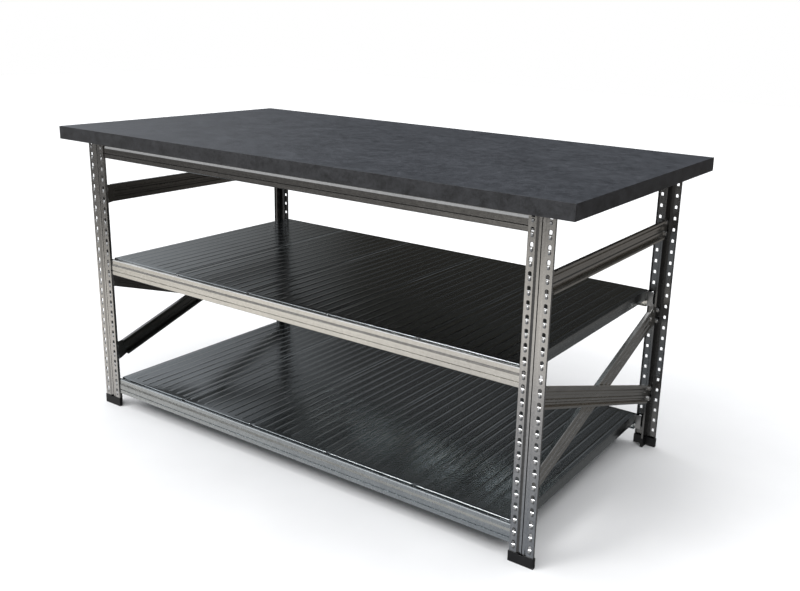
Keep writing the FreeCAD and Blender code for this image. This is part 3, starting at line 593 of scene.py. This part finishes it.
HEAD_HEIGHT = 5.3 * MM
END_ZONE = 0.5 * MM  # slice at the end of a bolt that shows whether its head is there
WIDER_THAN_SHANK = 5 * MM
for side in ("left", "right"):
    for kind in ("bolts", "nuts"):
        name = f"{side}_frame_{kind}"
        work = bmesh.new()
        for solid in islands(nodes[name]):
            x_low, x_high = span(solid, 0)
            y, z = (sum(span(solid, axis)) / 2 for axis in (1, 2))
            if kind == "nuts":
                add_nut(work, (x_low, y, z), 1, x_high - x_low)
                continue
            at_low_end = [point for point in solid if point.x < x_low + END_ZONE]
            head_is_low = max(abs(point.y - y) for point in at_low_end) > WIDER_THAN_SHANK
            heading = -1 if head_is_low else 1
            face = x_low + HEAD_HEIGHT if head_is_low else x_high - HEAD_HEIGHT
            add_head(work, (face, y, z), heading, HEAD_HEIGHT)
            add_shank(work, (face, y, z), -heading, x_high - x_low - HEAD_HEIGHT)
        bmesh.ops.recalc_face_normals(work, faces=work.faces)
        mesh = bpy.data.meshes.new(name)
        work.to_mesh(mesh)
        work.free()
        smooth(mesh)
        mesh.materials.append(looks["fastener"])
        new_piece(name + "_cut", mesh, name)

# ---------------------------------------------------------------------------------------------------
# Soft edges on the CAD solids that stay
# ---------------------------------------------------------------------------------------------------
ROLLED_EDGE = 0.35 * MM
MOULDED_EDGE = 0.8 * MM
BAND_EDGE = 0.4 * MM
for name, item in nodes.items():
    if item.hide_render or name in ("worktop_core", "worktop_laminate", "worktop_backing"):
        continue
    if name.startswith("foot_cap"):
        soften(item, MOULDED_EDGE)
    elif name.startswith("worktop_edge"):
        soften(item, BAND_EDGE)
    else:
        soften(item, ROLLED_EDGE)

# ---------------------------------------------------------------------------------------------------
# Floor, light and camera
# ---------------------------------------------------------------------------------------------------
FLOOR_HALF = 14.0
floor_mesh = bpy.data.meshes.new("floor")
floor_corners = [(x * FLOOR_HALF, y * FLOOR_HALF, 0) for x, y in ((-1, -1), (1, -1), (1, 1), (-1, 1))]
floor_mesh.from_pydata(floor_corners, [], [(0, 1, 2, 3)])
floor = bpy.data.objects.new("floor", floor_mesh)
bpy.context.scene.collection.objects.link(floor)
floor_material, floor_look = new_material("pale_floor")
speck = floor_look.noise(3.0, 4.0, 0.5)
floor_look.link(
    floor_look.ramp(speck, [(0.3, (0.80, 0.80, 0.80)), (0.7, (0.84, 0.84, 0.84))]),
    floor_look.shader.inputs["Base Color"],
)
floor_look.set(Roughness=0.9)
floor.data.materials.append(floor_material)

bpy.context.scene.view_settings.view_transform = "Standard"
floor.visible_glossy = False

# What the zinc mirrors: (sine of the height above the horizon, colour) on the bright front side of the
# studio and on its dim rear side
FRONT_SIDE = [
    (-1.00, (0.24, 0.26, 0.29)),
    (-0.50, (0.25, 0.27, 0.30)),
    (-0.42, (0.40, 0.40, 0.41)),
    (-0.34, (0.98, 0.93, 0.86)),
    (-0.27, (0.86, 0.82, 0.75)),
    (-0.225, (0.12, 0.115, 0.11)),
    (-0.05, (0.10, 0.095, 0.09)),
    (0.03, (0.80, 0.80, 0.80)),
    (0.30, (0.75, 0.78, 0.82)),
    (1.00, (0.90, 0.93, 1.00)),
]
REAR_SIDE = [
    (-1.00, (0.12, 0.12, 0.12)),
    (-0.35, (0.10, 0.10, 0.10)),
    (-0.10, (0.14, 0.13, 0.12)),
    (0.08, (0.020, 0.017, 0.012)),
    (0.20, (0.022, 0.020, 0.014)),
    (0.33, (0.026, 0.026, 0.025)),
    (0.50, (0.060, 0.063, 0.066)),
    (1.00, (1.00, 1.02, 1.06)),
]
TOWARDS_LIGHT = (-0.85, -0.52, 0.0)
REAR_UNTIL = 0.12  # leaning towards the light at which the rear side begins to fade, and where it is gone
FRONT_FROM = 0.74

world = bpy.data.worlds.new("studio")
bpy.context.scene.world = world
world.use_nodes = True
sky = Graph(world.node_tree, "Generated")
split = sky.tree.nodes.new("ShaderNodeSeparateXYZ")
sky.link(sky.place, split.inputs["Vector"])
height = sky.spread(split.outputs["Z"], -1.0, 1.0, 0.0, 1.0)
front = sky.ramp(height, [((z + 1.0) / 2.0, colour) for z, colour in FRONT_SIDE])
rear = sky.ramp(height, [((z + 1.0) / 2.0, colour) for z, colour in REAR_SIDE])
facing = sky.tree.nodes.new("ShaderNodeVectorMath")
facing.operation = "DOT_PRODUCT"
sky.link(sky.place, facing.inputs[0])
facing.inputs[1].default_value = TOWARDS_LIGHT
side = sky.spread(facing.outputs["Value"], REAR_UNTIL, FRONT_FROM, 0.0, 1.0)
mirrored = sky.blend("MIX", side, rear, front)
seen = sky.tree.nodes.new("ShaderNodeLightPath").outputs["Is Camera Ray"]
background = world.node_tree.nodes["Background"]
sky.link(sky.blend("MIX", seen, mirrored, (1.0, 1.0, 1.0)), background.inputs["Color"])


def soft_sun(name, direction, angle, strength):
    """A far-off soft lamp that shines along a direction and lights the whole floor evenly."""
    data = bpy.data.lights.new(name, "SUN")
    data.angle = math.radians(angle)
    data.energy = strength
    lamp = bpy.data.objects.new(name, data)
    bpy.context.scene.collection.objects.link(lamp)
    lamp.rotation_euler = Vector(direction).to_track_quat("-Z", "Y").to_euler()
    lamp.visible_camera = False
    return lamp


soft_sun("key_light", direction=(0.55, 0.72, -0.85), angle=20.0, strength=0.9)
top = soft_sun("top_light", direction=(0.06, 0.10, -1.0), angle=100.0, strength=2.6)
top.visible_glossy = False

# Camera: the photographer's place, and a lens a little longer than a normal view
CAMERA_SPOT = Vector((1.6126, -2.0861, 1.2494))
CAMERA_YAW = math.radians(32.866)
CAMERA_PITCH = math.radians(15.518)
CAMERA_ROLL = math.radians(2.048)
CAMERA_LENS = 40.34
SENSOR_WIDTH = 36.0
CAMERA_SHIFT = (-0.0594, -0.0333)
ahead = Vector((
    -math.sin(CAMERA_YAW) * math.cos(CAMERA_PITCH),
    math.cos(CAMERA_YAW) * math.cos(CAMERA_PITCH),
    -math.sin(CAMERA_PITCH),
))
level_right = Vector((math.cos(CAMERA_YAW), math.sin(CAMERA_YAW), 0.0))
level_up = level_right.cross(ahead)
right = level_right * math.cos(CAMERA_ROLL) + level_up * math.sin(CAMERA_ROLL)
up = level_up * math.cos(CAMERA_ROLL) - level_right * math.sin(CAMERA_ROLL)
camera_data = bpy.data.cameras.new("camera")
camera_data.lens = CAMERA_LENS
camera_data.sensor_width = SENSOR_WIDTH
camera_data.shift_x, camera_data.shift_y = CAMERA_SHIFT
camera = bpy.data.objects.new("camera", camera_data)
bpy.context.scene.collection.objects.link(camera)
camera.matrix_world = Matrix.Translation(CAMERA_SPOT) @ Matrix((right, up, -ahead)).transposed().to_4x4()
bpy.context.scene.camera = camera
